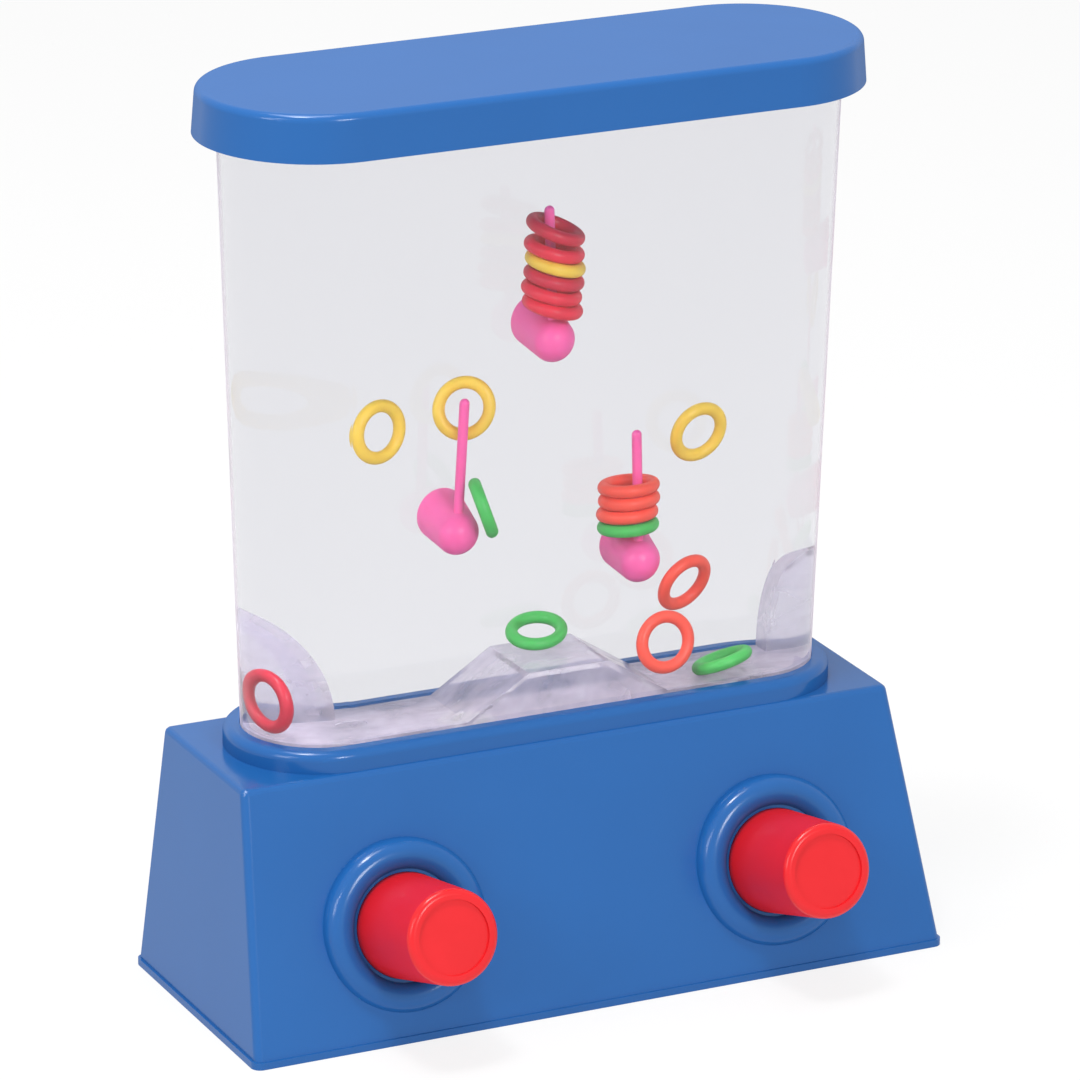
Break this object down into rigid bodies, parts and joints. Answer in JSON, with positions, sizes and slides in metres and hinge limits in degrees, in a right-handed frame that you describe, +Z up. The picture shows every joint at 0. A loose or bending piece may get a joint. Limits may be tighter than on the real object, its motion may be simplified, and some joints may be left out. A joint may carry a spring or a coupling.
{
  "type": "handheld water game",
  "caption": "Clear round-ended tank of water with upright pegs and loose rings, a flat lid, and a sloping base with push buttons that pump jets up through the floor.",
  "frame": {"origin": "on the table, under the middle of the tank", "axes": "+X along the tank to the right as seen from the front, -Y out of the front with the buttons, +Z up"},
  "size_m": [0.1228, 0.0633, 0.15],
  "materials": {
    "blue_plastic": "glossy moulded",
    "red_plastic": "glossy moulded",
    "clear_plastic": "clear, polished",
    "pink_plastic": "satin moulded",
    "white_plastic": "plain moulded",
    "hose": "soft, milky",
    "black_rubber": "matt",
    "steel": "bright zinc",
    "ring_red": "glossy moulded",
    "ring_dark_red": "glossy moulded",
    "ring_yellow": "glossy moulded",
    "ring_orange": "glossy moulded",
    "ring_green": "glossy moulded"
  },
  "bodies": {
    "toy": {"base_housing": "blue_plastic", "bottom_cover": "blue_plastic", "cover_screws": "steel", "pump_screws": "steel", "tank": "clear_plastic", "tank_seal": "black_rubber", "lid": "blue_plastic", "lid_gasket": "black_rubber", "ramp_insert": "clear_plastic", "filler_neck": "white_plastic", "jet_nozzle_left": "white_plastic", "jet_nozzle_right": "white_plastic", "jet_tube_left": "hose", "jet_tube_right": "hose", "pump_barrel_left": "white_plastic", "pump_barrel_right": "white_plastic", "return_spring_left": "steel", "return_spring_right": "steel", "peg_top": "pink_plastic", "peg_left": "pink_plastic", "peg_right": "pink_plastic"},
    "button_left": {"button_left": "red_plastic", "plunger_left": "white_plastic", "plunger_seal_left": "black_rubber"},
    "button_right": {"button_right": "red_plastic", "plunger_right": "white_plastic", "plunger_seal_right": "black_rubber"},
    "filler_plug": {"filler_plug": "black_rubber"},
    "top_ring_1": {"top_ring_1": "ring_red"},
    "top_ring_2": {"top_ring_2": "ring_red"},
    "top_ring_3": {"top_ring_3": "ring_dark_red"},
    "top_ring_4": {"top_ring_4": "ring_yellow"},
    "top_ring_5": {"top_ring_5": "ring_red"},
    "top_ring_6": {"top_ring_6": "ring_dark_red"},
    "right_ring_1": {"right_ring_1": "ring_green"},
    "right_ring_2": {"right_ring_2": "ring_orange"},
    "right_ring_3": {"right_ring_3": "ring_orange"},
    "right_ring_4": {"right_ring_4": "ring_orange"},
    "yellow_ring_left": {"yellow_ring_left": "ring_yellow"},
    "yellow_ring_middle": {"yellow_ring_middle": "ring_yellow"},
    "yellow_ring_right": {"yellow_ring_right": "ring_yellow"},
    "orange_ring_upper": {"orange_ring_upper": "ring_orange"},
    "orange_ring_lower": {"orange_ring_lower": "ring_orange"},
    "green_ring_hill": {"green_ring_hill": "ring_green"},
    "green_ring_valley": {"green_ring_valley": "ring_green"},
    "green_ring_leaning": {"green_ring_leaning": "ring_green"},
    "red_ring_corner": {"red_ring_corner": "ring_red"}
  },
  "joints": [
    {"name": "button_left_press", "type": "slide", "parent": "toy", "child": "button_left", "axis": [0, 0.9675, -0.2529], "range_m": [0, 0.008], "stiffness_N_per_m": 200, "springref_m": -0.004, "deforming": ["return_spring_left"]},
    {"name": "button_right_press", "type": "slide", "parent": "toy", "child": "button_right", "axis": [0, 0.9675, -0.2529], "range_m": [0, 0.008], "stiffness_N_per_m": 200, "springref_m": -0.004, "deforming": ["return_spring_right"]},
    {"name": "filler_plug_pull", "type": "slide", "parent": "toy", "child": "filler_plug", "axis": [0, 0, -1], "range_m": [0, 0.012]},
    {"name": "top_ring_1_rise", "type": "slide", "parent": "toy", "child": "top_ring_1", "axis": [0, 0, 1], "range_m": [-0.0003, 0.0035]},
    {"name": "top_ring_2_rise", "type": "slide", "parent": "top_ring_1", "child": "top_ring_2", "axis": [0, 0, 1], "range_m": [0, 0.0035]},
    {"name": "top_ring_3_rise", "type": "slide", "parent": "top_ring_2", "child": "top_ring_3", "axis": [0, 0, 1], "range_m": [0, 0.0035]},
    {"name": "top_ring_4_rise", "type": "slide", "parent": "top_ring_3", "child": "top_ring_4", "axis": [0, 0, 1], "range_m": [0, 0.0035]},
    {"name": "top_ring_5_rise", "type": "slide", "parent": "top_ring_4", "child": "top_ring_5", "axis": [0, 0, 1], "range_m": [0, 0.0035]},
    {"name": "top_ring_6_rise", "type": "slide", "parent": "top_ring_5", "child": "top_ring_6", "axis": [0, 0, 1], "range_m": [0, 0.0035]},
    {"name": "right_ring_1_rise", "type": "slide", "parent": "toy", "child": "right_ring_1", "axis": [0, 0, 1], "range_m": [0, 0.0172]},
    {"name": "right_ring_2_rise", "type": "slide", "parent": "right_ring_1", "child": "right_ring_2", "axis": [0, 0, 1], "range_m": [0, 0.0172]},
    {"name": "right_ring_3_rise", "type": "slide", "parent": "right_ring_2", "child": "right_ring_3", "axis": [0, 0, 1], "range_m": [0, 0.0172]},
    {"name": "right_ring_4_rise", "type": "slide", "parent": "right_ring_3", "child": "right_ring_4", "axis": [0, 0, 1], "range_m": [0, 0.0172]},
    {"name": "yellow_ring_left_rise", "type": "slide", "parent": "toy", "child": "yellow_ring_left", "axis": [0, 0, 1], "range_m": [-0.043, 0.048]},
    {"name": "yellow_ring_middle_rise", "type": "slide", "parent": "toy", "child": "yellow_ring_middle", "axis": [0, 0, 1], "range_m": [-0.004, 0.047]},
    {"name": "yellow_ring_right_rise", "type": "slide", "parent": "toy", "child": "yellow_ring_right", "axis": [0, 0, 1], "range_m": [-0.007, 0.055]},
    {"name": "orange_ring_upper_rise", "type": "slide", "parent": "toy", "child": "orange_ring_upper", "axis": [0, 0, 1], "range_m": [-0.003, 0.004]},
    {"name": "orange_ring_lower_rise", "type": "slide", "parent": "toy", "child": "orange_ring_lower", "axis": [0, 0, 1], "range_m": [0, 0.085]},
    {"name": "green_ring_hill_rise", "type": "slide", "parent": "toy", "child": "green_ring_hill", "axis": [0, 0, 1], "range_m": [0, 0.04]},
    {"name": "green_ring_valley_rise", "type": "slide", "parent": "toy", "child": "green_ring_valley", "axis": [0, 0, 1], "range_m": [0, 0.005]},
    {"name": "green_ring_leaning_rise", "type": "slide", "parent": "toy", "child": "green_ring_leaning", "axis": [0, 0, 1], "range_m": [-0.0022, 0.0012]},
    {"name": "red_ring_corner_rise", "type": "slide", "parent": "toy", "child": "red_ring_corner", "axis": [0, 0, 1], "range_m": [0, 0.089]}
  ]
}
